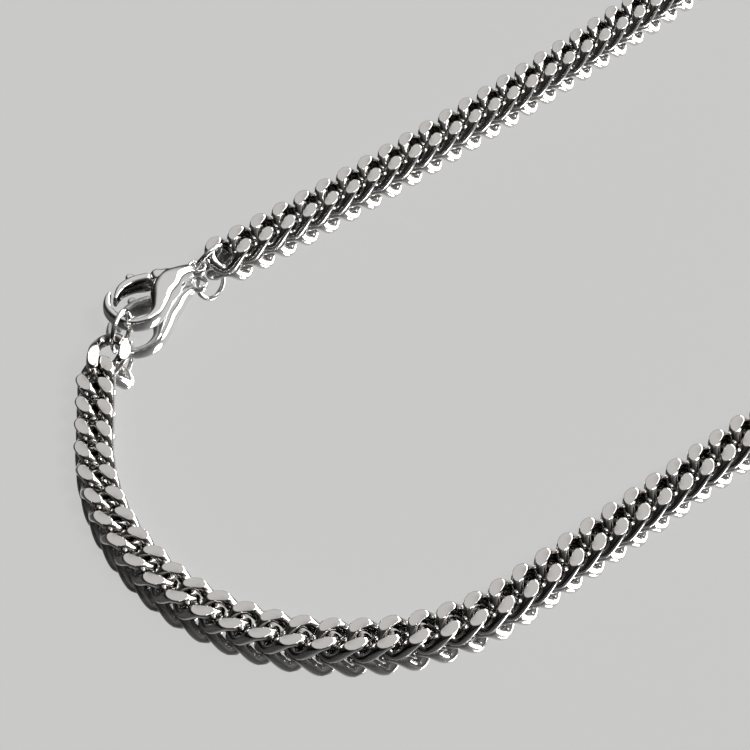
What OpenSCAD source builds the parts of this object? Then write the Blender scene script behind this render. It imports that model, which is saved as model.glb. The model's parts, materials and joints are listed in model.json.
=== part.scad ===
// Curb chain necklace with a lobster clasp, laid down flat as one long closed loop.
// The chain's ground flats lie on the plane z = 0, and +X runs along the two strands,
// away from the clasp. Every link is one twisted oval of wire with its top and bottom
// ground flat, linked through both of its neighbours.

/* [Chain] */
// Number of links along the route, without the turned end link at the hook
link_count = 141; // [135:1:150]
// Distance from one link's centre to the next
link_pitch = 3.4; // [3.38:0.01:3.42]
// Half of a link's length, along the centre line of its wire
link_half_length = 2.5; // [2.48:0.01:2.52]
// Half of a link's width, along the centre line of its wire
link_half_width = 1.65; // [1.6:0.01:1.7]
// How far the twist lifts the wire above and below the link's middle
link_lift = 1.05; // [1.03:0.01:1.08]
// Part of the lift that sharpens the twist towards the long sides
link_sharpness = 0.2; // [0.15:0.01:0.25]
// Diameter of the link's wire
wire_d = 1.46; // [1.4:0.01:1.48]
// Thickness of the chain between its ground flats
chain_t = 2.65; // [2.6:0.01:2.7]

/* [Layout] */
// Distance between the two strands' centre lines
strand_gap = 62.2; // [60:0.1:65]
// Radius of the loop's rounded end beside the clasp
left_radius = 30.1; // [29:0.1:31]
// Angle through which the rounded end beside the clasp turns
left_angle = 126.7; // [120:0.1:130]
// Straight run from that rounded end up to the chain's last link
end_run = 9.3; // [8:0.1:11]
// Radius of the slack stretch behind the clasp, which bows towards the other strand
slack_radius = 560; // [400:10:900]
// Heading of the slack stretch off the straight, where it reaches the clasp
clasp_slope = 3.1; // [2:0.1:4]
// Heading of the slack stretch off the straight, at its far end
far_slope = 4.3; // [3:0.1:5]
// Place along the strands of the first link behind the clasp, from the rounded end's centre
tail_x = 6.5; // [5:0.1:8]

/* [Clasp] */
// Distance from the first link behind the clasp to the eye's centre, along the strands
eye_ahead = 4.8; // [4.78:0.01:4.82]
// Distance from that link to the eye's centre, across the strands
eye_aside = 0.15; // [0.13:0.01:0.17]
// Height of the eye's centre above the surface
eye_z = 1.45; // [1.4:0.01:1.5]
// Angle by which the hook is lifted off the surface
clasp_tilt = 5; // [4.5:0.1:5.5]
// Angle between the clasp and the strands
clasp_turn = 2.5; // [2:0.1:3]
// Outer radius of the eye
eye_r = 1.22; // [1.2:0.01:1.24]
// Radius of the eye's hole
eye_hole_r = 0.76; // [0.74:0.01:0.78]
// Height of the eye
eye_h = 1.0; // [0.9:0.05:1.05]
// Distance from the eye's centre to the lever's pivot, along the clasp
pivot_ahead = 5.2; // [5.15:0.01:5.25]
// Distance from the eye's centre to the lever's pivot, across the clasp
pivot_aside = 1.2; // [1.15:0.01:1.25]
// Radius of the lever's round hub
hub_r = 1.3; // [1.2:0.05:1.35]
// Height of the hub, inside the slot of the body
hub_h = 1.1; // [1:0.05:1.2]
// Diameter of the pivot pin
pin_d = 0.8; // [0.6:0.05:0.9]
// Distance from the eye's centre to the thumb nub, along the clasp
nub_ahead = 7.9; // [7.7:0.05:8.1]
// Distance from the eye's centre to the thumb nub, across the clasp
nub_aside = 3.3; // [3.2:0.05:3.4]
// Radius of the thumb nub
nub_r = 0.6; // [0.5:0.05:0.7]
// Height of the thumb nub
nub_h = 1.6; // [1.4:0.05:1.8]

/* [Rings] */
// Diameter of the wire of both jump rings
ring_wire_d = 0.58; // [0.55:0.01:0.6]
// Radius of the tail side ring along its wire
tail_ring_r = 2.09; // [2.08:0.01:2.1]
// Radius of the hook side ring along its wire
hook_ring_r = 2.58; // [2.56:0.01:2.6]

/* [Hidden] */

// A link's wire has ten stations: its two ends, and two on each of the four ground flats
flat_angle = 54;
flat_half = 16;
flat_angles = [flat_angle - flat_half, flat_angle + flat_half];
quarter_angles = concat([0], flat_angles, [180 - flat_angles[1], 180 - flat_angles[0]]);
link_angles = [for (half = [0, 180], a = quarter_angles) half + a];
wire_sides = 5;
half_side = 180 / wire_sides;
// Half of the angle over which the wire's direction is taken
look = 0.1;
// Wire nearer to the link's middle height than this lies between two flats
between_flats = chain_t / 8;
// Steps between two stations of the clasp's sweeps, and sides of their section
sweep_steps = 3;
sweep_sides = 12;
// Power that squares the round section of the sweeps
section_power = 0.6;
// Running clearance of the pivot, the hub and the lever's arm
pin_gap = 0.03;
hub_gap = 0.15;
arm_gap = 0.2;
boss_wall = 0.05;

link_w = 2 * link_half_width + wire_d;
route_length = (link_count - 1) * link_pitch;
left_arc = left_radius * left_angle * PI / 180;
slack_x = slack_radius * (sin(clasp_slope) + sin(far_slope));
slack_y = slack_radius * (cos(clasp_slope) - cos(far_slope));
slack_arc = slack_radius * (clasp_slope + far_slope) * PI / 180;
// The far bend turns past a half circle, by far_slope, and far_run leads back to the slack
// stretch. Both follow from the whole length: the bend is right_radius = bend_0 + bend_1 * far_run
bend_arc = PI * (1 + far_slope / 180);
bend_0 = (strand_gap + slack_y) / (1 + cos(far_slope));
bend_1 = sin(far_slope) / (1 + cos(far_slope));
fixed_length = end_run + left_arc + tail_x + slack_x + slack_arc + bend_0 * (bend_arc + sin(far_slope));
far_run = (route_length - fixed_length) / (1 + cos(far_slope) + bend_1 * (bend_arc + sin(far_slope)));
right_radius = bend_0 + bend_1 * far_run;
straight = tail_x + slack_x + right_radius * sin(far_slope) + far_run * cos(far_slope);

overall = straight + left_radius + right_radius + link_w;
left_x = -overall / 2 + link_w / 2 + left_radius;
right_x = left_x + straight;
near_y = -right_radius;
first_link = [left_x + tail_x, near_y + strand_gap];
eye = first_link + [-eye_ahead, eye_aside];
pivot = [-pivot_ahead, pivot_aside];
nub = [-nub_ahead, nub_aside];

// Place and heading on the route, as [x, y, heading], at a distance from the hook's end
function route(s) =
    s < end_run ? on_run(s)
    : s < end_run + left_arc ? on_left(s - end_run)
    : s < end_run + left_arc + straight ? [left_x + s - end_run - left_arc, near_y, 0]
    : on_right(s - end_run - left_arc - straight);

function on_run(s) =
    let (start = on_left(0), back = end_run - s)
    [start[0] - back * cos(left_angle), start[1] + back * sin(left_angle), -left_angle];

function on_left(s) =
    let (a = s / left_radius * 180 / PI - left_angle)
    [left_x + left_radius * sin(a), near_y + left_radius * (1 - cos(a)), a];

function on_right(s) =
    s < right_radius * bend_arc ? right_bend(s / right_radius * 180 / PI)
    : on_far(s - right_radius * bend_arc);

function right_bend(a) = [right_x + right_radius * sin(a), near_y + right_radius * (1 - cos(a)), a];

function on_far(s) =
    let (start = right_bend(180 + far_slope))
    s < far_run ? [start[0] - s * cos(far_slope), start[1] - s * sin(far_slope), 180 + far_slope]
    : on_slack((s - far_run) / slack_radius * 180 / PI);

function on_slack(a) =
    let (start = on_far(far_run - 0.001), h = 180 + far_slope - a)
    [
        start[0] + slack_radius * (sin(180 + far_slope) - sin(h)),
        start[1] + slack_radius * (cos(h) - cos(180 + far_slope)),
        h
    ];

// Faces of a tube whose rings of points follow one another, closed on itself or capped
function tube_faces(rings, sides, closed) = concat(
    [for (i = [0 : rings - (closed ? 1 : 2)], k = [0 : sides - 1], half = [0, 1])
        let (j = (i + 1) % rings, m = (k + 1) % sides)
        half == 0 ? [i * sides + k, j * sides + k, j * sides + m]
        : [i * sides + k, j * sides + m, i * sides + m]],
    closed ? [] : [
        [for (k = [0 : sides - 1]) k],
        [for (k = [0 : sides - 1]) rings * sides - 1 - k]
    ]
);

// Centre line of a link's wire at the angle t
function wire_line(t) = [
    link_half_length * cos(t),
    link_half_width * sin(t),
    -link_lift * (sin(2 * t) - link_sharpness * sin(4 * t))
];

function unit(v) = v / norm(v);

// Turn of the wire's section, so that one of its sides faces the nearer ground flat
function section_turn(c, up, out) =
    abs(c[2]) < between_flats ? half_side
    : (360 + half_side + atan2(sign(c[2]) * up[2], sign(c[2]) * out[2])) % (2 * half_side);

// Corners of the wire's section at the angle t, held between the ground flats
function wire_section(t) =
    let (
        c = wire_line(t),
        along = unit(wire_line(t + look) - wire_line(t - look)),
        up = unit(cross(along, c)),
        out = cross(up, along),
        turn = section_turn(c, up, out)
    )
    [for (k = [0 : wire_sides - 1])
        let (q = turn + 2 * k * half_side, p = c + wire_d / 2 * (cos(q) * out + sin(q) * up))
        [p[0], p[1], max(-chain_t / 2, min(chain_t / 2, p[2]))]];

link_points = [for (t = link_angles, corner = wire_section(t)) corner];

module curb_link() {
    polyhedron(link_points, tube_faces(len(link_angles), wire_sides, true));
}

module link_run(first, last) {
    for (i = [first : last]) {
        place = route(i * link_pitch);
        translate([place[0], place[1], chain_t / 2])
            rotate([0, 0, place[2]])
                curb_link();
    }
}

// The last link has rolled on its side, where the ring pulls it towards the clasp
end_link_offset = [2.76, 1.42];
end_link_z = 2.27;
end_link_turn = [29.4, -13.3, 17.9];

module end_link() {
    last = route(0);
    translate([last[0] + end_link_offset[0], last[1] + end_link_offset[1], end_link_z])
        rotate(end_link_turn)
            curb_link();
}

half_count = floor(link_count / 2);

module chain_near() {
    color([0.80, 0.80, 0.80]) {
        end_link();
        link_run(0, half_count - 1);
    }
}

module chain_far() {
    color([0.80, 0.80, 0.80])
        link_run(half_count, link_count - 1);
}

// A closed ring of round wire about a centre, its axis along a direction
module jump_ring(centre, axis, radius) {
    translate(centre)
        rotate([0, acos(axis[2] / norm(axis)), atan2(axis[1], axis[0])])
            rotate_extrude($fn = 64)
                translate([radius, 0])
                    circle(d = ring_wire_d, $fn = 32);
}

hook_ring_centre = [eye[0] - 14.13, eye[1] - 3.72, eye_z + 1.48];
hook_ring_axis = [0.514, -0.856, 0.051];
tail_ring_centre = [eye[0] + 1.78, eye[1] - 0.14, eye_z + 0.81];
tail_ring_axis = [-0.128, 0.926, 0.354];

module hook_ring() {
    color([0.84, 0.84, 0.84])
        jump_ring(hook_ring_centre, hook_ring_axis, hook_ring_r);
}

module tail_ring() {
    color([0.84, 0.84, 0.84])
        jump_ring(tail_ring_centre, tail_ring_axis, tail_ring_r);
}

// Stations of the body and claw, from the eye round the hook to its tip, as
// [along, across, width, height] from the eye's centre
claw_stations = [
    [-0.9, 0.15, 1.5, 1.7],
    [-2.5, 0.15, 2.1, 2.7],
    [-4.3, -0.1, 3.2, 3.3],
    [-6.1, -0.9, 3.1, 3.3],
    [-7.6, -2.25, 2.4, 3.0],
    [-9.2, -3.45, 1.5, 2.5],
    [-11.0, -3.7, 1.0, 2.1],
    [-12.6, -2.95, 0.85, 1.9],
    [-13.3, -1.6, 1.0, 1.85],
    [-13.45, -0.2, 1.15, 1.85],
    [-13.15, 1.1, 1.1, 1.8],
    [-12.35, 2.15, 0.85, 1.75],
    [-11.55, 2.7, 0.5, 1.6]
];
// Stations of the lever's arm, from beside its hub to its tip
lever_stations = [
    [-6.6, 1.85, 1.5, 2.7],
    [-8.0, 2.45, 1.5, 2.4],
    [-9.6, 2.55, 1.3, 2.1],
    [-10.7, 2.15, 0.9, 1.9],
    [-11.7, 1.45, 0.55, 1.6]
];

// A smooth curve through four stations in a row, at the share u between the middle two
function between(a, b, c, d, u) =
    (2 * b + (c - a) * u + (2 * a - 5 * b + 4 * c - d) * u * u + (3 * b - a - 3 * c + d) * pow(u, 3)) / 2;

// Stations with sweep_steps steps added between each two
function smooth(list) =
    let (
        n = len(list),
        all = concat([2 * list[0] - list[1]], list, [2 * list[n - 1] - list[n - 2]])
    )
    concat(
        [for (i = [0 : n - 2], k = [0 : sweep_steps - 1])
            between(all[i], all[i + 1], all[i + 2], all[i + 3], k / sweep_steps)],
        [list[n - 1]]
    );

function squared(v) = sign(v) * pow(abs(v), section_power);

// A solid swept along stations that lie in the plane, with a rounded square section
module sweep(stations) {
    line = smooth(stations);
    n = len(line);
    points = [for (i = [0 : n - 1], k = [0 : sweep_sides - 1])
        let (
            ahead = line[min(i + 1, n - 1)] - line[max(i - 1, 0)],
            side = unit([-ahead[1], ahead[0]]),
            q = (k + 0.5) * 360 / sweep_sides,
            across = squared(cos(q)) * line[i][2] / 2
        )
        [line[i][0] + side[0] * across, line[i][1] + side[1] * across, squared(sin(q)) * line[i][3] / 2]];
    polyhedron(points, tube_faces(n, sweep_sides, false));
}

// A round disc or bore about the pivot, centred on the clasp's mid height
module at_pivot(radius, height) {
    translate([pivot[0], pivot[1], 0])
        cylinder(r = radius, h = height, center = true, $fn = 64);
}

// Puts the clasp's own frame, with its origin in the eye's centre, where the clasp lies
module on_clasp() {
    translate([eye[0], eye[1], eye_z])
        rotate([0, clasp_tilt, clasp_turn])
            children();
}

// Heights of the boss over the hub, and of everything that cuts right through
boss_h = 2.9;
through_h = 6;
slot_play = 0.05;
edge = 0.2;

module clasp_eye() {
    rotate_extrude($fn = 64)
        polygon([
            [eye_hole_r + edge, -eye_h / 2],
            [eye_r - edge, -eye_h / 2],
            [eye_r, -eye_h / 2 + edge],
            [eye_r, eye_h / 2 - edge],
            [eye_r - edge, eye_h / 2],
            [eye_hole_r + edge, eye_h / 2],
            [eye_hole_r, eye_h / 2 - edge],
            [eye_hole_r, -eye_h / 2 + edge]
        ]);
}

module clasp_body() {
    color([0.78, 0.78, 0.78])
        on_clasp()
            difference() {
                union() {
                    sweep(claw_stations);
                    clasp_eye();
                    at_pivot(hub_r + boss_wall, boss_h);
                }
                at_pivot(hub_r + hub_gap, hub_h + 2 * slot_play);
                at_pivot(pin_d / 2 + pin_gap, through_h);
            }
}

// The lever's arm is full height outside the body and thin where it enters the slot
tongue = [2.0, 1.0];
tongue_angle = 160;

module clasp_lever() {
    color([0.78, 0.78, 0.78])
        on_clasp()
            difference() {
                union() {
                    difference() {
                        sweep(lever_stations);
                        at_pivot(hub_r + boss_wall + arm_gap, through_h);
                    }
                    at_pivot(hub_r, hub_h);
                    translate([pivot[0], pivot[1], -hub_h / 2])
                        rotate([0, 0, tongue_angle])
                            translate([0, -tongue[1] / 2, 0])
                                cube([tongue[0], tongue[1], hub_h]);
                    translate([nub[0], nub[1], 0])
                        cylinder(r = nub_r, h = nub_h, center = true, $fn = 48);
                }
                at_pivot(pin_d / 2 + pin_gap, through_h);
            }
}

module lever_pin() {
    color([0.70, 0.70, 0.70])
        on_clasp()
            at_pivot(pin_d / 2, boss_h);
}

chain_near();
chain_far();
hook_ring();
tail_ring();
clasp_body();
clasp_lever();
lever_pin();
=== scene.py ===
"""A polished curb chain with its lobster clasp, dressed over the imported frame."""

import json
import math

import bmesh
import bpy
import numpy as np
from mathutils import Euler, Matrix, Vector


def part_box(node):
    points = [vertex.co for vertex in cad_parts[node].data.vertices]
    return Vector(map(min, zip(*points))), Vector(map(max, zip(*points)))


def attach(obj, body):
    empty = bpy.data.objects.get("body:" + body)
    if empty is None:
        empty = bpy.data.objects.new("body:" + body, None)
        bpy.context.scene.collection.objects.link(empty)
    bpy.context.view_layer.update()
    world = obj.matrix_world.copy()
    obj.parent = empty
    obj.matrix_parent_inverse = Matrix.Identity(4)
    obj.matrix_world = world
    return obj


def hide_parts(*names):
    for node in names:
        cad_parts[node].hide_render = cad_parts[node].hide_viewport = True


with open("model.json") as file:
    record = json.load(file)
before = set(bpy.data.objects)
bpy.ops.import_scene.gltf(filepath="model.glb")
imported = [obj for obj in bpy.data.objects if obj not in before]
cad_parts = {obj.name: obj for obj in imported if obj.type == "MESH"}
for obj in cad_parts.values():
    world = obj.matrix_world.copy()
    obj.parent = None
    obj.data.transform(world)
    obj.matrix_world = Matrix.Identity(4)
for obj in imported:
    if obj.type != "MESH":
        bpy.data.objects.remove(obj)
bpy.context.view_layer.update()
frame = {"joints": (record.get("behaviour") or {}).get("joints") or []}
HINGE = frame["joints"][0]

bl_info = {
    "name": "Curb Chain Necklace",
    "version": (1, 0, 0),
    "blender": (4, 5, 0),
    "location": "View3D > Sidebar > Curb Chain",
    "description": "Lays a polished curb chain in its loop and fastens it with a lobster clasp",
    "category": "Add Mesh",
}

MM = 0.001
FULL_TURN = 2 * math.pi
# A face whose normal stands at least this upright lies level
UPRIGHT = 0.999


def millimetres(name, description, value):
    """A length property whose default is given in millimetres."""
    return bpy.props.FloatProperty(
        name=name, description=description, default=value * MM, unit="LENGTH", precision=5
    )


def degrees(name, description, value):
    """An angle property whose default is given in degrees."""
    return bpy.props.FloatProperty(
        name=name, description=description, default=math.radians(value), subtype="ANGLE"
    )


def metal_colour(name, description, value):
    """A colour property of the finish."""
    return bpy.props.FloatVectorProperty(
        name=name, description=description, default=value, size=3, min=0, max=1, subtype="COLOR"
    )


class ChainSizes(bpy.types.PropertyGroup):
    """One link's wire, its ground flats and its spacing"""

    link_count: bpy.props.IntProperty(name="Links", description="Links along the route", default=141)
    near_count: bpy.props.IntProperty(
        name="Near links", description="Links of the half that starts at the hook", default=70
    )
    pitch: millimetres("Pitch", "Distance between two links' centres", 3.4)
    half_length: millimetres("Half length", "Half of a link's length along its wire's middle", 2.5)
    half_width: millimetres("Half width", "Half of a link's width along its wire's middle", 1.65)
    lift: millimetres("Lift", "How far the twist lifts the wire", 1.05)
    sharpness: bpy.props.FloatProperty(
        name="Sharpness", description="Part of the lift that sharpens the twist", default=0.2
    )
    wire: millimetres("Wire", "Diameter of the link's round wire", 1.5)
    end_wire: millimetres("End wire", "Diameter of the wire of the link at the hook", 1.44)
    thickness: millimetres("Thickness", "Thickness between the ground flats", 2.65)
    rim: millimetres("Rim", "Width of the burnished rim round a flat", 0.07)
    wobble: degrees("Wobble", "How far a link may lean in its neighbours", 0.7)
    seed: bpy.props.IntProperty(name="Seed", description="Draw of the links' lean", default=7)


class RouteSizes(bpy.types.PropertyGroup):
    """The loop that the links lie along, in the order of its stretches"""

    strand_gap: millimetres("Strand gap", "Distance between the two strands", 62.2)
    end_run: millimetres("End run", "Straight run up to the link at the hook", 9.3)
    left_radius: millimetres("Clasp end radius", "Radius of the end beside the clasp", 30.1)
    left_angle: degrees("Clasp end angle", "Angle through which that end turns", 126.7)
    tail: millimetres("Tail", "Place of the first link behind the clasp", 6.5)
    slack_radius: millimetres("Slack radius", "Radius of the slack stretch", 560)
    clasp_slope: degrees("Clasp slope", "Heading of the slack stretch at the clasp", 3.1)
    far_slope: degrees("Far slope", "Heading of the slack stretch at its far end", 4.3)


class ClaspSizes(bpy.types.PropertyGroup):
    """The lobster clasp, in its own frame with its origin in the eye's centre"""

    tilt: degrees("Tilt", "How far the hook is lifted off the surface", 5)
    turn: degrees("Turn", "Angle between the clasp and the strands", 2.5)
    pivot_x: millimetres("Pivot along", "Place of the lever's pivot along the clasp", -5.2)
    pivot_y: millimetres("Pivot across", "Place of the lever's pivot across the clasp", 1.2)
    eye_outer: millimetres("Eye", "Outer radius of the eye", 1.22)
    eye_hole: millimetres("Eye hole", "Radius of the eye's hole", 0.76)
    eye_height: millimetres("Eye height", "Height of the eye", 1.0)
    hub: millimetres("Hub", "Radius of the lever's hub", 0.9)
    slot: millimetres("Slot", "Radius of the body's slot round the hub", 1.45)
    hub_height: millimetres("Hub height", "Height of the lever's hub", 1.1)
    boss_height: millimetres("Boss height", "Height of the body round the pivot", 2.9)
    rivet: millimetres("Rivet", "Radius of the pivot rivet", 0.35)
    nub: millimetres("Nub", "Radius of the thumb nub", 0.6)


class RingSizes(bpy.types.PropertyGroup):
    """The two jump rings"""

    wire: millimetres("Wire", "Diameter of the rings' wire", 0.58)
    hook_radius: millimetres("Hook ring", "Radius of the ring in the hook", 2.58)
    tail_radius: millimetres("Tail ring", "Radius of the ring in the eye", 2.09)
    cut: millimetres("Cut", "Width of the closed saw cut", 0.02)


class FinishChoices(bpy.types.PropertyGroup):
    """Colours of the metal and of the setting"""

    chain: metal_colour("Chain silver", "Colour of the polished links", (0.78, 0.755, 0.735))
    clasp: metal_colour("Clasp silver", "Colour of the clasp's casting", (0.90, 0.89, 0.88))
    ring: metal_colour("Ring silver", "Colour of the drawn ring wire", (0.92, 0.915, 0.905))
    steel: metal_colour("Rivet steel", "Colour of the rivet", (0.70, 0.70, 0.70))
    # Near-black colour painted into the recesses as shade
    recess_shade_colour: metal_colour("Recess shade", "Colour of the shade painted into recesses", (0.07, 0.064, 0.06))
    slab: metal_colour("Slab", "Colour of the polished slab", (0.945, 0.955, 0.95))


class StageSizes(bpy.types.PropertyGroup):
    """The camera and the light about the necklace"""

    camera_x: millimetres("Camera along", "Place of the camera along the strands", -198.34)
    camera_y: millimetres("Camera across", "Place of the camera across the strands", -155.93)
    camera_z: millimetres("Camera height", "Height of the camera over the slab", 235.99)
    heading: degrees("Heading", "Heading of the view, from the strands", 50.5)
    look_down: degrees("Look down", "Angle of the view below level", 49.13)
    lens: bpy.props.FloatProperty(name="Lens", description="Focal length in mm", default=124.5)
    window_power: bpy.props.FloatProperty(
        name="Window", description="Power of the window at the right", default=30, unit="POWER"
    )
    lamp_power: bpy.props.FloatProperty(
        name="Side lamp", description="Power of the small lamp at the side", default=3, unit="POWER"
    )
    room: bpy.props.FloatProperty(
        name="Room", description="Brightness of the pale room overhead", default=0.64
    )


GROUPS = {
    "chain": ChainSizes,
    "route": RouteSizes,
    "clasp": ClaspSizes,
    "ring": RingSizes,
    "finish": FinishChoices,
    "stage": StageSizes,
}


def sizes(name):
    """The named property group of the scene."""
    return getattr(bpy.context.scene, "necklace_" + name)


# Meshes and objects


def new_object(name, data):
    """An object of the scene that holds a mesh, a light or a camera."""
    made = bpy.data.objects.new(name, data)
    bpy.context.scene.collection.objects.link(made)
    return made


def mesh_from(name, points, faces):
    """A closed mesh whose faces point outwards, merged where its points meet."""
    shape = bmesh.new()
    corners = [shape.verts.new(point) for point in points]
    for face in faces:
        shape.faces.new([corners[index] for index in face])
    bmesh.ops.remove_doubles(shape, verts=shape.verts, dist=1e-7)
    bmesh.ops.recalc_face_normals(shape, faces=shape.faces)
    mesh = bpy.data.meshes.new(name)
    shape.to_mesh(mesh)
    shape.free()
    return mesh


def tube_faces(rings, sides, closed):
    """Faces between rings of points that follow one another, closed on itself or capped."""
    faces = []
    for ring in range(rings if closed else rings - 1):
        after = (ring + 1) % rings
        for side in range(sides):
            beside = (side + 1) % sides
            faces.append(
                (ring * sides + side, after * sides + side, after * sides + beside, ring * sides + beside)
            )
    if not closed:
        faces.append(tuple(range(sides)))
        faces.append(tuple(rings * sides - 1 - side for side in range(sides)))
    return faces


def lathe(name, profile, sides):
    """A solid turned about the upright axis, from a closed profile of (radius, height)."""
    points = []
    for side in range(sides):
        angle = FULL_TURN * side / sides
        for radius, height in profile:
            points.append((radius * math.cos(angle), radius * math.sin(angle), height))
    return mesh_from(name, points, tube_faces(sides, len(profile), True))


def rounded_rim(radius, height, edge):
    """Outer profile of a disc with rounded edges, from below to above."""
    rim = []
    steps = 6
    for sign in (-1, 1):
        for step in range(steps + 1):
            turn = math.pi / 2 * (step / steps if sign < 0 else 1 - step / steps)
            rim.append(
                (radius - edge + edge * math.sin(turn), sign * (height / 2 - edge + edge * math.cos(turn)))
            )
    return rim


def disc(name, radius, height, edge, centre):
    """A solid round disc with rounded edges."""
    rim = rounded_rim(radius, height, edge)
    sides = 72
    points = [(centre[0], centre[1], centre[2] + level) for level in (-height / 2, height / 2)]
    for side in range(sides):
        angle = FULL_TURN * side / sides
        for reach, rise in rim:
            away = (reach * math.cos(angle), reach * math.sin(angle), rise)
            points.append(tuple(middle + part for middle, part in zip(centre, away)))
    count = len(rim)
    faces = []
    for side in range(sides):
        here, there = 2 + side * count, 2 + (side + 1) % sides * count
        faces.append((0, here, there))
        faces.append((1, there + count - 1, here + count - 1))
        for step in range(count - 1):
            faces.append((here + step, here + step + 1, there + step + 1, there + step))
    return mesh_from(name, points, faces)


def smooth_all(mesh, metal):
    """The mesh, shaded smooth and made of one metal."""
    mesh.shade_smooth()
    mesh.materials.clear()
    mesh.materials.append(metal)
    return mesh


# Shader groups and materials


def put(tree, kind, inputs=None, **settings):
    """A new node with its settings, and its inputs set to a value or linked to a socket."""
    node = tree.nodes.new(kind)
    for name, value in settings.items():
        setattr(node, name, value)
    for name, value in (inputs or {}).items():
        socket = node.inputs[name]
        if isinstance(value, bpy.types.NodeSocket):
            tree.links.new(value, socket)
        else:
            socket.default_value = value
    return node


def maths(tree, operation, first, second=0.0):
    """The output of a Math node."""
    return put(tree, "ShaderNodeMath", {0: first, 1: second}, operation=operation).outputs[0]


def ramp(tree, value, low, high, start=0.0, end=1.0):
    """A value taken smoothly from start to end as it goes from low to high."""
    node = put(
        tree,
        "ShaderNodeMapRange",
        {"Value": value, "From Min": low, "From Max": high, "To Min": start, "To Max": end},
        interpolation_type="SMOOTHSTEP",
    )
    return node.outputs["Result"]


def group_tree(name, inputs, outputs):
    """An empty shader node group with named sockets."""
    tree = bpy.data.node_groups.new(name, "ShaderNodeTree")
    for label, kind, value in inputs:
        socket = tree.interface.new_socket(label, in_out="INPUT", socket_type=kind)
        if value is not None:
            socket.default_value = value
    for label, kind in outputs:
        tree.interface.new_socket(label, in_out="OUTPUT", socket_type=kind)
    return tree


def scratch_lines(tree, place, turn, scale, share):
    """Mask of hair scratches along one direction, most of them faint."""
    stretch = 0.02
    turned = put(
        tree,
        "ShaderNodeMapping",
        {"Vector": place, "Rotation": turn, "Scale": (scale * stretch, scale, scale)},
    )
    noise = put(tree, "ShaderNodeTexNoise", {"Vector": turned.outputs[0], "Scale": 1.0, "Detail": 1.0})
    ridge = maths(tree, "ABSOLUTE", maths(tree, "SUBTRACT", noise.outputs[0], 0.5))
    return ramp(tree, ridge, 0.0, share, 1.0, 0.0)


def handling_wear():
    """Fine scratches, finger smudges and polishing swell, as roughness, tone and height."""
    found = bpy.data.node_groups.get("Handling wear")
    if found:
        return found
    tree = group_tree(
        "Handling wear",
        [
            ("Place", "NodeSocketVector", None),
            ("Polished", "NodeSocketFloat", 0.04),
            ("Worn", "NodeSocketFloat", 0.16),
        ],
        [("Roughness", "NodeSocketFloat"), ("Tone", "NodeSocketFloat"), ("Height", "NodeSocketFloat")],
    )
    given = tree.nodes.new("NodeGroupInput").outputs
    result = tree.nodes.new("NodeGroupOutput").inputs
    scratch_scale, patch_scale, smudge_scale, swell_scale = 9000.0, 350.0, 1400.0, 900.0
    scratch_width, smudge_share = 0.012, 0.35
    least_tone, tone_span = 0.97, 0.06

    def noise(scale, detail):
        return put(tree, "ShaderNodeTexNoise", {"Vector": given["Place"], "Scale": scale, "Detail": detail})

    masks = [
        scratch_lines(tree, given["Place"], (0.3, 0.2, angle), scratch_scale, scratch_width)
        for angle in (0.4, 1.3, 2.5)
    ]
    lines = maths(tree, "MAXIMUM", maths(tree, "MAXIMUM", masks[0], masks[1]), masks[2])
    where = ramp(tree, noise(patch_scale, 3.0).outputs[0], 0.42, 0.66)
    scratched = maths(tree, "MULTIPLY", lines, where)
    smudge = noise(smudge_scale, 4.0)
    smeared = ramp(tree, smudge.outputs[0], 0.5, 0.75)
    amount = maths(tree, "MAXIMUM", maths(tree, "MULTIPLY", smeared, smudge_share), scratched)
    span = maths(tree, "SUBTRACT", given["Worn"], given["Polished"])
    rough = maths(tree, "ADD", given["Polished"], maths(tree, "MULTIPLY", amount, span))
    tree.links.new(rough, result["Roughness"])
    tone = maths(tree, "ADD", least_tone, maths(tree, "MULTIPLY", smudge.outputs[0], tone_span))
    tree.links.new(tone, result["Tone"])
    height = maths(tree, "SUBTRACT", noise(swell_scale, 1.0).outputs[0], scratched)
    tree.links.new(height, result["Height"])
    return tree


def attribute(tree, name):
    """A node that reads a value kept on the mesh."""
    return put(tree, "ShaderNodeAttribute", attribute_name=name, attribute_type="GEOMETRY")


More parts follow.
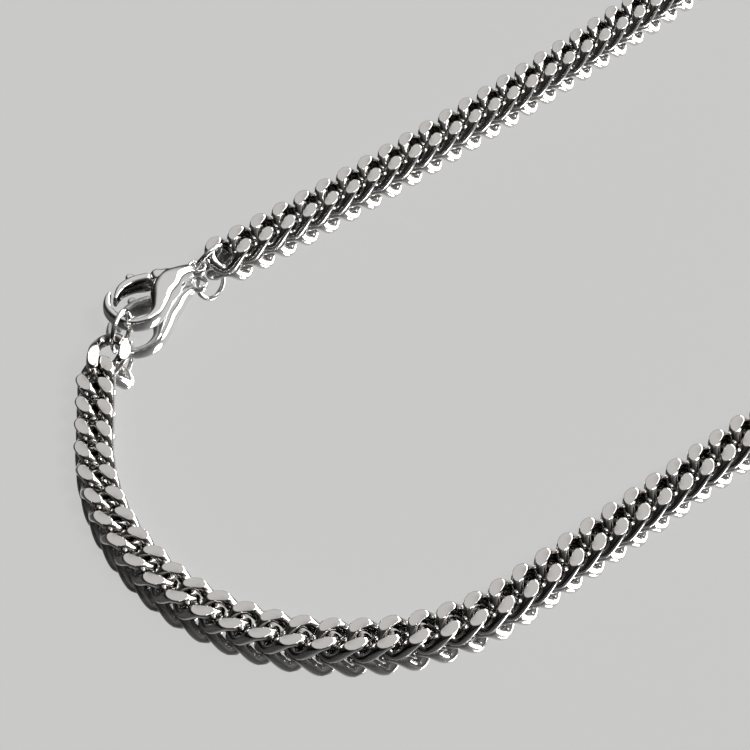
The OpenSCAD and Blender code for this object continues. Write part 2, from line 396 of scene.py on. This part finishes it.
def silver(name, colour, polished, worn, recess=0.0, ground=False):
    """Polished metal with its handling wear, and painted shade in its recesses."""
    metal = bpy.data.materials.get(name)
    if metal:
        return metal
    grain_scale, grain_rough, grain_height = (900.0, 22000.0, 1.0), 0.10, 0.35
    bump_strength, bump_depth = 0.35, 0.000004
    metal = bpy.data.materials.new(name)
    metal.use_nodes = True
    metal.diffuse_color = (*colour, 1)
    metal.metallic = 1
    tree = metal.node_tree
    tree.nodes.clear()
    place = put(tree, "ShaderNodeTexCoord").outputs["Object"]
    wear = put(tree, "ShaderNodeGroup", node_tree=handling_wear())
    tree.links.new(place, wear.inputs["Place"])
    wear.inputs["Polished"].default_value = polished
    wear.inputs["Worn"].default_value = worn
    tint = put(tree, "ShaderNodeMix", data_type="RGBA", blend_type="MULTIPLY")
    tint.inputs["Factor"].default_value = 1.0
    tint.inputs[6].default_value = (*colour, 1)
    tone = put(tree, "ShaderNodeCombineColor")
    for channel in ("Red", "Green", "Blue"):
        tree.links.new(wear.outputs["Tone"], tone.inputs[channel])
    tree.links.new(tone.outputs[0], tint.inputs[7])
    shown = tint.outputs[2]
    height = wear.outputs["Height"]
    rough = wear.outputs["Roughness"]
    # Painted shade: the colour is darkened towards the recess shade colour where the mesh marks a recess
    if recess:
        deep = ramp(tree, attribute(tree, "recess").outputs["Fac"], 0.15, 1.0, 0.0, recess)
        dark = put(tree, "ShaderNodeMix", data_type="RGBA")
        tree.links.new(deep, dark.inputs["Factor"])
        tree.links.new(shown, dark.inputs[6])
        dark.inputs[7].default_value = (*sizes("finish").recess_shade_colour, 1)
        shown = dark.outputs[2]
    if ground:
        mask = attribute(tree, "ground").outputs["Fac"]
        spot = attribute(tree, "link_place").outputs["Vector"]
        stretched = put(tree, "ShaderNodeMapping", {"Vector": spot, "Scale": grain_scale})
        lines = put(
            tree, "ShaderNodeTexNoise", {"Vector": stretched.outputs[0], "Scale": 1.0, "Detail": 2.0}
        )
        grain = maths(tree, "MULTIPLY", lines.outputs[0], mask)
        rough = maths(tree, "ADD", rough, maths(tree, "MULTIPLY", grain, grain_rough))
        height = maths(tree, "ADD", height, maths(tree, "MULTIPLY", grain, grain_height))
    bump = put(
        tree, "ShaderNodeBump", {"Height": height, "Strength": bump_strength, "Distance": bump_depth}
    )
    shader = put(
        tree,
        "ShaderNodeBsdfPrincipled",
        {"Base Color": shown, "Roughness": rough, "Normal": bump.outputs[0], "Metallic": 1.0},
    )
    end = put(tree, "ShaderNodeOutputMaterial")
    tree.links.new(shader.outputs[0], end.inputs["Surface"])
    return metal


def chain_silver():
    """The links' silver, with painted shade on each wire's inner side."""
    return silver("Chain silver", sizes("finish").chain, 0.035, 0.15, recess=0.8, ground=True)


# The route and the links

# Where the link at the hook lies on its side: its place from the route's start, and its turn
END_LINK_PLACE = (2.766, 1.416, 2.429)
END_LINK_TURN = (29.56, -12.77, 17.45)


def bend_point(centre_x, near_y, radius, angle):
    """Place and heading on an end's round bend, at the angle from its lowest point."""
    place = (centre_x + radius * math.sin(angle), near_y + radius * (1 - math.cos(angle)))
    return place[0], place[1], angle


class Route:
    """The closed loop, measured from the link at the hook."""

    def __init__(self):
        run, chain = sizes("route"), sizes("chain")
        self.run = run
        self.left_arc = run.left_radius * run.left_angle
        total = (chain.link_count - 1) * chain.pitch
        near_slope, far_slope = run.clasp_slope, run.far_slope
        slack_x = run.slack_radius * (math.sin(near_slope) + math.sin(far_slope))
        slack_y = run.slack_radius * (math.cos(near_slope) - math.cos(far_slope))
        slack_arc = run.slack_radius * (near_slope + far_slope)
        self.bend_turn = math.pi + far_slope
        open_cos = 1 + math.cos(far_slope)
        bend_start = (run.strand_gap + slack_y) / open_cos
        bend_growth = math.sin(far_slope) / open_cos
        used = self.bend_turn + math.sin(far_slope)
        fixed = run.end_run + self.left_arc + run.tail + slack_x + slack_arc + bend_start * used
        self.far_run = (total - fixed) / (open_cos + bend_growth * used)
        self.right_radius = bend_start + bend_growth * self.far_run
        self.straight = (
            run.tail
            + slack_x
            + self.right_radius * math.sin(far_slope)
            + self.far_run * math.cos(far_slope)
        )
        wide = self.straight + run.left_radius + self.right_radius
        self.left_x = run.left_radius - wide / 2
        self.right_x = self.left_x + self.straight
        self.near_y = -self.right_radius

    def at(self, distance):
        """Place and heading at a distance along the route."""
        run = self.run
        start = bend_point(self.left_x, self.near_y, run.left_radius, -run.left_angle)
        if distance < run.end_run:
            back = run.end_run - distance
            heading = -run.left_angle
            return start[0] - back * math.cos(heading), start[1] - back * math.sin(heading), heading
        distance -= run.end_run
        if distance < self.left_arc:
            angle = distance / run.left_radius - run.left_angle
            return bend_point(self.left_x, self.near_y, run.left_radius, angle)
        distance -= self.left_arc
        if distance < self.straight:
            return self.left_x + distance, self.near_y, 0.0
        distance -= self.straight
        if distance < self.right_radius * self.bend_turn:
            return bend_point(self.right_x, self.near_y, self.right_radius, distance / self.right_radius)
        distance -= self.right_radius * self.bend_turn
        return self.behind(distance)

    def behind(self, distance):
        """The strand behind the clasp: straight from the far bend, then slack."""
        heading = self.bend_turn
        start = bend_point(self.right_x, self.near_y, self.right_radius, heading)
        reach = min(distance, self.far_run)
        x = start[0] + reach * math.cos(heading)
        y = start[1] + reach * math.sin(heading)
        if distance <= self.far_run:
            return x, y, heading
        radius = self.run.slack_radius
        turned = heading - (distance - self.far_run) / radius
        x += radius * (math.sin(heading) - math.sin(turned))
        y += radius * (math.cos(turned) - math.cos(heading))
        return x, y, turned


def wire_middle(chain, angle):
    """The middle line of a link's wire at an angle."""
    return Vector(
        (
            chain.half_length * math.cos(angle),
            chain.half_width * math.sin(angle),
            -chain.lift * (math.sin(2 * angle) - chain.sharpness * math.sin(4 * angle)),
        )
    )


def link_mesh(wire):
    """One curb link of round wire, ground flat above and below, with burnished rims."""
    chain = sizes("chain")
    stations, sides, near = 48, 16, 0.001
    shape = bmesh.new()
    recess = shape.verts.layers.float.new("recess")
    rings = []
    for station in range(stations):
        angle = FULL_TURN * station / stations
        middle = wire_middle(chain, angle)
        along = (wire_middle(chain, angle + near) - wire_middle(chain, angle - near)).normalized()
        up = along.cross(middle).normalized()
        out = up.cross(along)
        ring = []
        for side in range(sides):
            turn = FULL_TURN * (side + 0.5) / sides
            reach = wire / 2 * (math.cos(turn) * out + math.sin(turn) * up)
            corner = shape.verts.new(middle + reach)
            # Painted shade: the wire's inner side, facing the link's hole, is marked to be darkened
            corner[recess] = max(0.0, -math.cos(turn))
            ring.append(corner)
        rings.append(ring)
    for station, ring in enumerate(rings):
        after = rings[(station + 1) % stations]
        for side in range(sides):
            beside = (side + 1) % sides
            shape.faces.new((ring[side], after[side], after[beside], ring[beside]))
    bmesh.ops.recalc_face_normals(shape, faces=shape.faces)
    for face in shape.faces:
        face.smooth = True
    grind_flats(shape, chain)
    spot = shape.verts.layers.float_vector.new("link_place")
    for corner in shape.verts:
        corner[spot] = corner.co
    mesh = bpy.data.meshes.new("curb_link")
    shape.to_mesh(mesh)
    shape.free()
    return mesh


def is_flat(face):
    """Whether a face is a ground flat: level, and with more corners than the wire's faces."""
    return len(face.verts) > 4 and abs(face.normal.z) > UPRIGHT


def grind_flats(shape, chain):
    """Cuts the link level above and below, and burnishes the rim of each flat."""
    half = chain.thickness / 2
    for sign in (1, -1):
        cut = bmesh.ops.bisect_plane(
            shape,
            geom=shape.verts[:] + shape.edges[:] + shape.faces[:],
            plane_co=(0, 0, sign * half),
            plane_no=(0, 0, sign),
            clear_outer=True,
        )
        rims = [piece for piece in cut["geom_cut"] if isinstance(piece, bmesh.types.BMEdge)]
        bmesh.ops.holes_fill(shape, edges=rims, sides=0)
    rims = list({edge for face in shape.faces if is_flat(face) for edge in face.edges})
    made = bmesh.ops.bevel(
        shape, geom=rims, offset=chain.rim, offset_type="OFFSET", segments=2, profile=0.5, affect="EDGES"
    )
    for face in made["faces"]:
        face.smooth = True
    ground = shape.faces.layers.float.new("ground")
    for face in shape.faces:
        if is_flat(face):
            face[ground] = 1.0
            face.smooth = False


def links_tree():
    """Geometry nodes that hang links along a route: named inputs for all that varies."""
    tree = bpy.data.node_groups.new("Links along a route", "GeometryNodeTree")
    wanted = [
        ("Route", "NodeSocketGeometry"),
        ("Link", "NodeSocketObject"),
        ("Links", "NodeSocketInt"),
        ("Wobble", "NodeSocketFloat"),
        ("Seed", "NodeSocketInt"),
        ("Metal", "NodeSocketMaterial"),
    ]
    for label, kind in wanted:
        tree.interface.new_socket(label, in_out="INPUT", socket_type=kind)
    tree.interface.new_socket("Links", in_out="OUTPUT", socket_type="NodeSocketGeometry")
    given = tree.nodes.new("NodeGroupInput").outputs
    line = put(tree, "GeometryNodeMeshToCurve", {"Mesh": given["Route"]})
    spots = put(
        tree, "GeometryNodeCurveToPoints", {"Curve": line.outputs[0], "Count": given["Links"]}, mode="COUNT"
    )
    along = put(tree, "FunctionNodeAlignRotationToVector", {"Vector": spots.outputs["Tangent"]}, axis="X")
    lean_shares = (1.0, 1.0, 0.4)
    least = put(tree, "ShaderNodeVectorMath", {0: tuple(-share for share in lean_shares)}, operation="SCALE")
    most = put(tree, "ShaderNodeVectorMath", {0: lean_shares}, operation="SCALE")
    for reach in (least, most):
        tree.links.new(given["Wobble"], reach.inputs["Scale"])
    lean = put(tree, "FunctionNodeRandomValue", {"Seed": given["Seed"]}, data_type="FLOAT_VECTOR")
    tree.links.new(least.outputs[0], lean.inputs[0])
    tree.links.new(most.outputs[0], lean.inputs[1])
    leaning = put(tree, "FunctionNodeEulerToRotation", {0: lean.outputs[0]})
    facing = put(
        tree,
        "FunctionNodeRotateRotation",
        {"Rotation": along.outputs[0], "Rotate By": leaning.outputs[0]},
        rotation_space="LOCAL",
    )
    link = put(tree, "GeometryNodeObjectInfo", {"Object": given["Link"], "As Instance": True})
    hung = put(
        tree,
        "GeometryNodeInstanceOnPoints",
        {
            "Points": spots.outputs["Points"],
            "Instance": link.outputs["Geometry"],
            "Rotation": facing.outputs[0],
        },
    )
    real = put(tree, "GeometryNodeRealizeInstances", {"Geometry": hung.outputs[0]})
    coated = put(tree, "GeometryNodeSetMaterial", {"Geometry": real.outputs[0], "Material": given["Metal"]})
    end = tree.nodes.new("NodeGroupOutput")
    tree.links.new(coated.outputs[0], end.inputs[0])
    return tree


def plain_mesh(made, name):
    """What an object's modifiers make of it, as a mesh of its own."""
    graph = bpy.context.evaluated_depsgraph_get()
    mesh = bpy.data.meshes.new_from_object(made.evaluated_get(graph), depsgraph=graph)
    mesh.name = name
    return mesh


def hang_links(name, tree, link, route, first, last, seed):
    """The links from first to last along the route, as one mesh."""
    chain = sizes("chain")
    steps_each = 8
    span = (last - first) * steps_each
    level = chain.thickness / 2
    points = [
        (*route.at((first + step / steps_each) * chain.pitch)[:2], level) for step in range(span + 1)
    ]
    line = bpy.data.meshes.new(name + "_route")
    line.from_pydata(points, [(step, step + 1) for step in range(span)], [])
    carrier = new_object(name + "_route", line)
    maker = carrier.modifiers.new("Links", "NODES")
    maker.node_group = tree
    values = {
        "Link": link,
        "Links": last - first + 1,
        "Wobble": chain.wobble,
        "Seed": seed,
        "Metal": chain_silver(),
    }
    for socket in tree.interface.items_tree:
        if socket.in_out == "INPUT" and socket.name in values:
            maker[socket.identifier] = values[socket.name]
    mesh = plain_mesh(carrier, name)
    bpy.data.objects.remove(carrier)
    return new_object(name, mesh)


class NECKLACE_OT_lay_links(bpy.types.Operator):
    """Lays the curb links along both halves of the loop, and the turned link at the hook"""

    bl_idname = "necklace.lay_links"
    bl_label = "Lay the links"

    def execute(self, context):
        chain = sizes("chain")
        route = Route()
        pattern = new_object("curb_link", link_mesh(chain.wire))
        tree = links_tree()
        near = hang_links("near_links", tree, pattern, route, 0, chain.near_count - 1, chain.seed)
        far = hang_links(
            "far_links", tree, pattern, route, chain.near_count, chain.link_count - 1, chain.seed + 1
        )
        hook_link = new_object("hook_link", link_mesh(chain.end_wire))
        last = route.at(0.0)
        offset = Vector(END_LINK_PLACE) * MM
        turn = Euler([math.radians(angle) for angle in END_LINK_TURN])
        place = Matrix.Translation(Vector((last[0], last[1], 0)) + offset) @ turn.to_matrix().to_4x4()
        hook_link.data.transform(place)
        hook_link.data.materials.append(chain_silver())
        bpy.data.objects.remove(pattern)
        for piece, node in ((near, "chain_near"), (hook_link, "chain_near"), (far, "chain_far")):
            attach(piece, "necklace")
            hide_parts(node)
        return {"FINISHED"}


# The jump rings: the way each one's axis points, and where round it the saw cut lies

HOOK_RING_AXIS = (0.514, -0.856, 0.051)
HOOK_RING_CUT = 4.2
TAIL_RING_AXIS = (-0.128, 0.926, 0.354)
TAIL_RING_CUT = 2.0


def ring_mesh(name, centre, axis, radius, cut_at):
    """A jump ring of round wire, closed but for its saw cut at the angle cut_at."""
    rings = sizes("ring")
    stations, sides, pinch = 96, 24, 0.93
    facing = Vector((0, 0, 1)).rotation_difference(axis.normalized()).to_matrix()
    gap = rings.cut / radius
    points = []
    for station in range(stations + 1):
        angle = cut_at + gap / 2 + (FULL_TURN - gap) * station / stations
        edge = min(station, stations - station)
        width = rings.wire / 2 * (pinch if edge == 0 else 1.0)
        for side in range(sides):
            turn = FULL_TURN * side / sides
            reach = radius + width * math.cos(turn)
            spot = Vector((reach * math.cos(angle), reach * math.sin(angle), width * math.sin(turn)))
            points.append(centre + facing @ spot)
    return mesh_from(name, points, tube_faces(stations + 1, sides, False))


class NECKLACE_OT_close_rings(bpy.types.Operator):
    """Closes a jump ring through the hook and one through the eye"""

    bl_idname = "necklace.close_rings"
    bl_label = "Close the jump rings"

    def execute(self, context):
        rings = sizes("ring")
        metal = silver("Ring silver", sizes("finish").ring, 0.04, 0.15)
        plans = (
            ("hook_jump_ring", "hook_ring", HOOK_RING_AXIS, rings.hook_radius, HOOK_RING_CUT),
            ("tail_jump_ring", "tail_ring", TAIL_RING_AXIS, rings.tail_radius, TAIL_RING_CUT),
        )
        for name, node, axis, radius, cut_at in plans:
            low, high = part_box(node)
            centre = (Vector(low) + Vector(high)) / 2
            mesh = ring_mesh(name, centre, Vector(axis), radius, cut_at)
            ring = new_object(name, smooth_all(mesh, metal))
            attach(ring, "necklace")
            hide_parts(node)
        return {"FINISHED"}


# The clasp, drawn in millimetres in its own frame

CLAW = (
    (-0.9, 0.15, 1.5, 1.7),
    (-2.5, 0.15, 2.1, 2.7),
    (-4.3, -0.1, 3.2, 3.3),
    (-6.1, -0.9, 3.1, 3.3),
    (-7.6, -2.25, 2.4, 3.0),
    (-9.2, -3.45, 1.5, 2.5),
    (-11.0, -3.7, 1.0, 2.1),
    (-12.6, -2.95, 0.85, 1.9),
    (-13.3, -1.6, 1.0, 1.85),
    (-13.45, -0.2, 1.15, 1.85),
    (-13.15, 1.1, 1.1, 1.8),
    (-12.35, 2.15, 0.85, 1.75),
    (-11.55, 2.7, 0.5, 1.6),
)
LEVER_ARM = (
    (-6.15, 1.7, 1.2, 2.6),
    (-6.6, 1.85, 1.5, 2.7),
    (-8.0, 2.45, 1.5, 2.4),
    (-9.6, 2.55, 1.3, 2.1),
    (-10.7, 2.15, 0.9, 1.9),
    (-11.7, 1.45, 0.55, 1.6),
)
# The body's shoulder, which covers the pivot and runs out to the eye
SHOULDER = (
    (-1.6, 0.3, 0.9, 1.8),
    (-2.8, 0.5, 1.3, 2.4),
    (-4.0, 0.8, 1.7, 2.8),
    (-5.2, 1.2, 2.0, 2.9),
)
NUB = (-7.9, 3.3)
NUB_HEIGHT, NUB_EDGE = 1.6, 0.3
BOSS_MARGIN, BOSS_EDGE = 0.1, 0.6
SLOT_MARGIN, SLOT_EDGE = 0.1, 0.02
HUB_EDGE = 0.05
RIVET_SUNK, RIVET_EDGE = 0.06, 0.08
# Room that the lever's arm leaves round the hub, and the height of the disc that cuts it
ARM_MARGIN, ARM_CUT = 0.22, 6
TONGUE_LENGTH, TONGUE_WIDTH, TONGUE_HEADING = 2.0, 1.0, math.radians(160)
# Squareness of the cast sections: at 1 they are round
SECTION_POWER = 0.72
# Middle of the claw's opening, and how far from it lie the inner walls that are darkened with painted shade
OPENING = (-10.3, -0.6, 0.0)
OPENING_REACH = (3.2, 4.6)


def smooth_stations(stations, steps):
    """Stations with smooth steps added between each two."""
    listed = [np.array(station) for station in stations]
    full = [2 * listed[0] - listed[1], *listed, 2 * listed[-1] - listed[-2]]
    result = []
    for a, b, c, d in zip(full, full[1:], full[2:], full[3:]):
        for step in range(steps):
            u = step / steps
            bow = (2 * a - 5 * b + 4 * c - d) * u**2
            result.append((2 * b + (c - a) * u + bow + (3 * b - a - 3 * c + d) * u**3) / 2)
    return result + [listed[-1]]


def squared(value):
    """A sine or cosine drawn out towards a square section."""
    return math.copysign(abs(value) ** SECTION_POWER, value)


def swept(name, stations):
    """A solid swept along stations of (along, across, width, height)."""
    steps, sides = 8, 40
    line = smooth_stations(stations, steps)
    points = []
    for index, (x, y, width, height) in enumerate(line):
        ahead = line[min(index + 1, len(line) - 1)] - line[max(index - 1, 0)]
        side_way = Vector((-ahead[1], ahead[0])).normalized()
        for side in range(sides):
            turn = FULL_TURN * (side + 0.5) / sides
            across = squared(math.cos(turn)) * width / 2
            points.append(
                (x + side_way.x * across, y + side_way.y * across, squared(math.sin(turn)) * height / 2)
            )
    return mesh_from(name, points, tube_faces(len(line), sides, False))


def clasp_frame():
    """Puts the clasp's own millimetres where the clasp lies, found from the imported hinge."""
    clasp = sizes("clasp")
    turned = Euler((0, clasp.tilt, clasp.turn)).to_matrix().to_4x4()
    eye = Vector(HINGE["pos_m"]) - turned @ Vector((clasp.pivot_x, clasp.pivot_y, 0))
    return Matrix.Translation(eye) @ turned @ Matrix.Scale(MM, 4)


def cut_by(made, cutter):
    """Cuts an object by a mesh, and returns the helper object that has to last until then."""
    helper = new_object(made.name + "_cutter", cutter)
    cut = made.modifiers.new("Cut", "BOOLEAN")
    cut.operation = "DIFFERENCE"
    cut.solver = "MANIFOLD"
    cut.object = helper
    return helper


def cast_piece(name, solids, cutters, metal, voxel, passes):
    """One casting of overlapping solids less its cutters, with softened edges."""
    shape = bmesh.new()
    for mesh in solids:
        shape.from_mesh(mesh)
    joined = bpy.data.meshes.new(name)
    shape.to_mesh(joined)
    shape.free()
    rough = new_object(name + "_rough", joined)
    helpers = []
    rough.modifiers.new("Join", "REMESH").voxel_size = voxel
    for cutter in cutters:
        helpers.append(cut_by(rough, cutter))
    if cutters:
        rough.modifiers.new("Even", "REMESH").voxel_size = voxel
    soft = rough.modifiers.new("Soften", "SMOOTH")
    soft.factor = 0.5
    soft.iterations = passes
    mesh = plain_mesh(rough, name)
    for helper in [rough, *helpers]:
        bpy.data.objects.remove(helper)
    mark_walls_for_shade(mesh)
    mesh.transform(clasp_frame())
    return new_object(name, smooth_all(mesh, metal))


def mark_walls_for_shade(mesh):
    """Marks the walls that face the claw's opening, to be darkened with painted shade."""
    marks = mesh.attributes.new("recess", "FLOAT", "POINT")
    middle = Vector(OPENING)
    near, far = OPENING_REACH
    for corner in mesh.vertices:
        away = middle - corner.co
        away.z = 0
        facing = corner.normal.dot(away.normalized())
        share = min(1.0, max(0.0, (far - away.length) / (far - near)))
        marks.data[corner.index].value = max(0.0, facing) * share


def clasp_silver():
    """The castings' silver, with painted shade on the walls that face the claw's opening."""
    return silver("Clasp silver", sizes("finish").clasp, 0.05, 0.18, recess=0.85)


class NECKLACE_OT_cast_clasp(bpy.types.Operator):
    """Casts the clasp's body with its claw, its eye and the slot for the lever"""

    bl_idname = "necklace.cast_clasp"
    bl_label = "Cast the clasp"

    def execute(self, context):
        clasp = sizes("clasp")
        pivot = (clasp.pivot_x / MM, clasp.pivot_y / MM, 0)
        hub, hub_height = clasp.hub / MM, clasp.hub_height / MM
        outer, hole, high = clasp.eye_outer / MM, clasp.eye_hole / MM, clasp.eye_height / MM
        middle, half = (outer + hole) / 2, (outer - hole) / 2
        corners = 20
        section = [
            (middle + half * squared(math.cos(turn)), high / 2 * squared(math.sin(turn)))
            for turn in [FULL_TURN * (corner + 0.5) / corners for corner in range(corners)]
        ]
        eye = lathe("eye", section, 64)
        boss = disc("boss", hub + BOSS_MARGIN, clasp.boss_height / MM, BOSS_EDGE, pivot)
        solids = [swept("claw", CLAW), swept("shoulder", SHOULDER), eye, boss]
        slot = disc("slot", clasp.slot / MM, hub_height + SLOT_MARGIN, SLOT_EDGE, pivot)
        body = cast_piece("clasp_casting", solids, [slot], clasp_silver(), voxel=0.07, passes=8)
        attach(body, "necklace")
        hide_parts("clasp_body")
        return {"FINISHED"}


class NECKLACE_OT_fit_lever(bpy.types.Operator):
    """Fits the sprung lever with its thumb nub, and its rivet"""

    bl_idname = "necklace.fit_lever"
    bl_label = "Fit the lever"

    def execute(self, context):
        clasp = sizes("clasp")
        pivot = (clasp.pivot_x / MM, clasp.pivot_y / MM, 0)
        hub, hub_height = clasp.hub / MM, clasp.hub_height / MM
        arm = cut_arm(pivot, hub)
        disc_hub = disc("hub", hub, hub_height, HUB_EDGE, pivot)
        nub = disc("nub", clasp.nub / MM, NUB_HEIGHT, NUB_EDGE, (*NUB, 0))
        solids = [arm, disc_hub, nub, tongue(pivot, hub_height)]
        lever = cast_piece("clasp_trigger", solids, [], clasp_silver(), voxel=0.06, passes=4)
        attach(lever, "lever")
        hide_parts("clasp_lever")
        steel = silver("Rivet steel", sizes("finish").steel, 0.14, 0.3)
        sunk = (pivot[0], pivot[1], -RIVET_SUNK)
        pin = disc("pivot_rivet", clasp.rivet / MM, clasp.boss_height / MM, RIVET_EDGE, sunk)
        pin.transform(clasp_frame())
        rivet = new_object("pivot_rivet", smooth_all(pin, steel))
        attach(rivet, "necklace")
        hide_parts("lever_pin")
        return {"FINISHED"}


def cut_arm(pivot, hub):
    """The lever's arm, cut clear of the body's boss."""
    rough = new_object("arm_rough", swept("arm", LEVER_ARM))
    helper = cut_by(rough, disc("clear", hub + ARM_MARGIN, ARM_CUT, HUB_EDGE, pivot))
    mesh = plain_mesh(rough, "arm")
    for made in (rough, helper):
        bpy.data.objects.remove(made)
    return mesh


def tongue(pivot, height):
    """The flat tongue that carries the arm out of the hub."""
    ahead = Vector((math.cos(TONGUE_HEADING), math.sin(TONGUE_HEADING), 0))
    aside = Vector((-ahead.y, ahead.x, 0)) * TONGUE_WIDTH / 2
    start = Vector(pivot)
    points = []
    for level in (-height / 2, height / 2):
        for reach, sign in ((0, -1), (TONGUE_LENGTH, -1), (TONGUE_LENGTH, 1), (0, 1)):
            points.append(start + ahead * reach + aside * sign + Vector((0, 0, level)))
    faces = [(3, 2, 1, 0), (4, 5, 6, 7), (0, 1, 5, 4), (1, 2, 6, 5), (2, 3, 7, 6), (3, 0, 4, 7)]
    return mesh_from("tongue", points, faces)


# The stage

SLAB_MIRROR, SLAB_ROUGHNESS, SLAB_REACH = 0.86, 0.035, 3.0
# Each light panel: its heading from the view's, its elevation, its distance, its width and height
WINDOW = (math.radians(-57), math.radians(20), 1.1, (1.7, 0.66))
SIDE_LAMP = (math.radians(-104), math.radians(54), 1.1, (0.3, 0.3))
# The room's falls of brightness: from, to, brightness at the first and at the second
FALL_TO_LEVEL = (0.02, 0.5, 0.03, 1.0)
FALL_BEHIND = (-0.8, 0.35, 0.05, 1.0)
FALL_LEFT = (0.16, 0.62, 1.0, 0.08)
ROOM_COLOUR = (1.0, 0.995, 0.985, 1.0)


def slab_polish():
    """Pale polished slab, nearly a mirror at a low angle."""
    finish = bpy.data.materials.new("Polished slab")
    finish.use_nodes = True
    tree = finish.node_tree
    shader = tree.nodes["Principled BSDF"]
    shader.inputs["Base Color"].default_value = (*sizes("finish").slab, 1)
    shader.inputs["Metallic"].default_value = SLAB_MIRROR
    shader.inputs["Roughness"].default_value = SLAB_ROUGHNESS
    return finish


def room_light():
    """A pale room overhead that falls off to dark on the camera's own side."""
    stage = sizes("stage")
    world = bpy.data.worlds.new("Soft studio")
    bpy.context.scene.world = world
    world.use_nodes = True
    tree = world.node_tree
    tree.nodes.clear()
    way = put(tree, "ShaderNodeTexCoord").outputs["Generated"]
    height = put(tree, "ShaderNodeSeparateXYZ", {0: way}).outputs["Z"]
    ahead = (math.cos(stage.heading), math.sin(stage.heading), 0.0)
    left = (-ahead[1], ahead[0], 0.0)
    facing, aside = (
        put(tree, "ShaderNodeVectorMath", {0: way, 1: side}, operation="DOT_PRODUCT").outputs["Value"]
        for side in (ahead, left)
    )
    above = ramp(tree, height, *FALL_TO_LEVEL)
    front = ramp(tree, facing, *FALL_BEHIND)
    beside = ramp(tree, aside, *FALL_LEFT)
    level = maths(tree, "MULTIPLY", maths(tree, "MULTIPLY", above, front), beside)
    bright = maths(tree, "MULTIPLY", level, stage.room)
    sky = put(tree, "ShaderNodeBackground", {"Color": ROOM_COLOUR, "Strength": bright})
    end = put(tree, "ShaderNodeOutputWorld")
    tree.links.new(sky.outputs[0], end.inputs["Surface"])


def soft_panel(name, plan, power):
    """A rectangular light panel that faces the necklace."""
    from_view, elevation, distance, size = plan
    heading = sizes("stage").heading + from_view
    lamp = bpy.data.lights.new(name, "AREA")
    lamp.shape = "RECTANGLE"
    lamp.size, lamp.size_y = size
    lamp.energy = power
    made = new_object(name, lamp)
    away = Vector(
        (
            math.cos(heading) * math.cos(elevation),
            math.sin(heading) * math.cos(elevation),
            math.sin(elevation),
        )
    )
    made.location = away * distance
    made.rotation_euler = (-away).to_track_quat("-Z", "Y").to_euler()
    made.visible_camera = False
    return made


def keep_off(panel, kept_out):
    """Keeps a panel's light, and its white image, off one object."""
    left_out = bpy.data.collections.new(panel.name + "_left_out")
    left_out.objects.link(kept_out)
    left_out.collection_objects[0].light_linking.link_state = "EXCLUDE"
    panel.light_linking.receiver_collection = left_out


class NECKLACE_OT_set_stage(bpy.types.Operator):
    """Sets the slab, the camera and the light"""

    bl_idname = "necklace.set_stage"
    bl_label = "Set the stage"

    def execute(self, context):
        stage = sizes("stage")
        signs = ((-1, -1), (1, -1), (1, 1), (-1, 1))
        corners = [(SLAB_REACH * along, SLAB_REACH * across, 0) for along, across in signs]
        flat = bpy.data.meshes.new("slab")
        flat.from_pydata(corners, [], [(0, 1, 2, 3)])
        flat.materials.append(slab_polish())
        slab = new_object("slab", flat)
        room_light()
        keep_off(soft_panel("window", WINDOW, stage.window_power), slab)
        soft_panel("side_lamp", SIDE_LAMP, stage.lamp_power)
        lens = bpy.data.cameras.new("camera")
        lens.lens = stage.lens
        lens.sensor_width = 36
        lens.clip_start = 0.001
        camera = new_object("camera", lens)
        camera.location = (stage.camera_x, stage.camera_y, stage.camera_z)
        level = Vector((math.cos(stage.heading), math.sin(stage.heading), 0))
        view = level * math.cos(stage.look_down) - Vector((0, 0, math.sin(stage.look_down)))
        camera.rotation_euler = view.to_track_quat("-Z", "Y").to_euler()
        context.scene.camera = camera
        context.scene.view_settings.view_transform = "Standard"
        return {"FINISHED"}


OPERATORS = (
    NECKLACE_OT_lay_links,
    NECKLACE_OT_close_rings,
    NECKLACE_OT_cast_clasp,
    NECKLACE_OT_fit_lever,
    NECKLACE_OT_set_stage,
)


class NECKLACE_PT_bench(bpy.types.Panel):
    """The steps that make the necklace, in order"""

    bl_idname = "NECKLACE_PT_bench"
    bl_label = "Curb Chain"
    bl_space_type = "VIEW_3D"
    bl_region_type = "UI"
    bl_category = "Curb Chain"

    def draw(self, context):
        for step in OPERATORS:
            self.layout.operator(step.bl_idname)
        for group in GROUPS:
            box = self.layout.box()
            values = sizes(group)
            for name in values.bl_rna.properties.keys():
                if name not in ("rna_type", "name"):
                    box.prop(values, name)


def register():
    for made in (*GROUPS.values(), *OPERATORS, NECKLACE_PT_bench):
        bpy.utils.register_class(made)
    for name, group in GROUPS.items():
        setattr(bpy.types.Scene, "necklace_" + name, bpy.props.PointerProperty(type=group))


def unregister():
    for name in GROUPS:
        delattr(bpy.types.Scene, "necklace_" + name)
    for made in reversed((*GROUPS.values(), *OPERATORS, NECKLACE_PT_bench)):
        bpy.utils.unregister_class(made)


def main():
    register()
    bpy.ops.necklace.lay_links()
    bpy.ops.necklace.close_rings()
    bpy.ops.necklace.cast_clasp()
    bpy.ops.necklace.fit_lever()
    bpy.ops.necklace.set_stage()


if __name__ == "__main__":
    main()
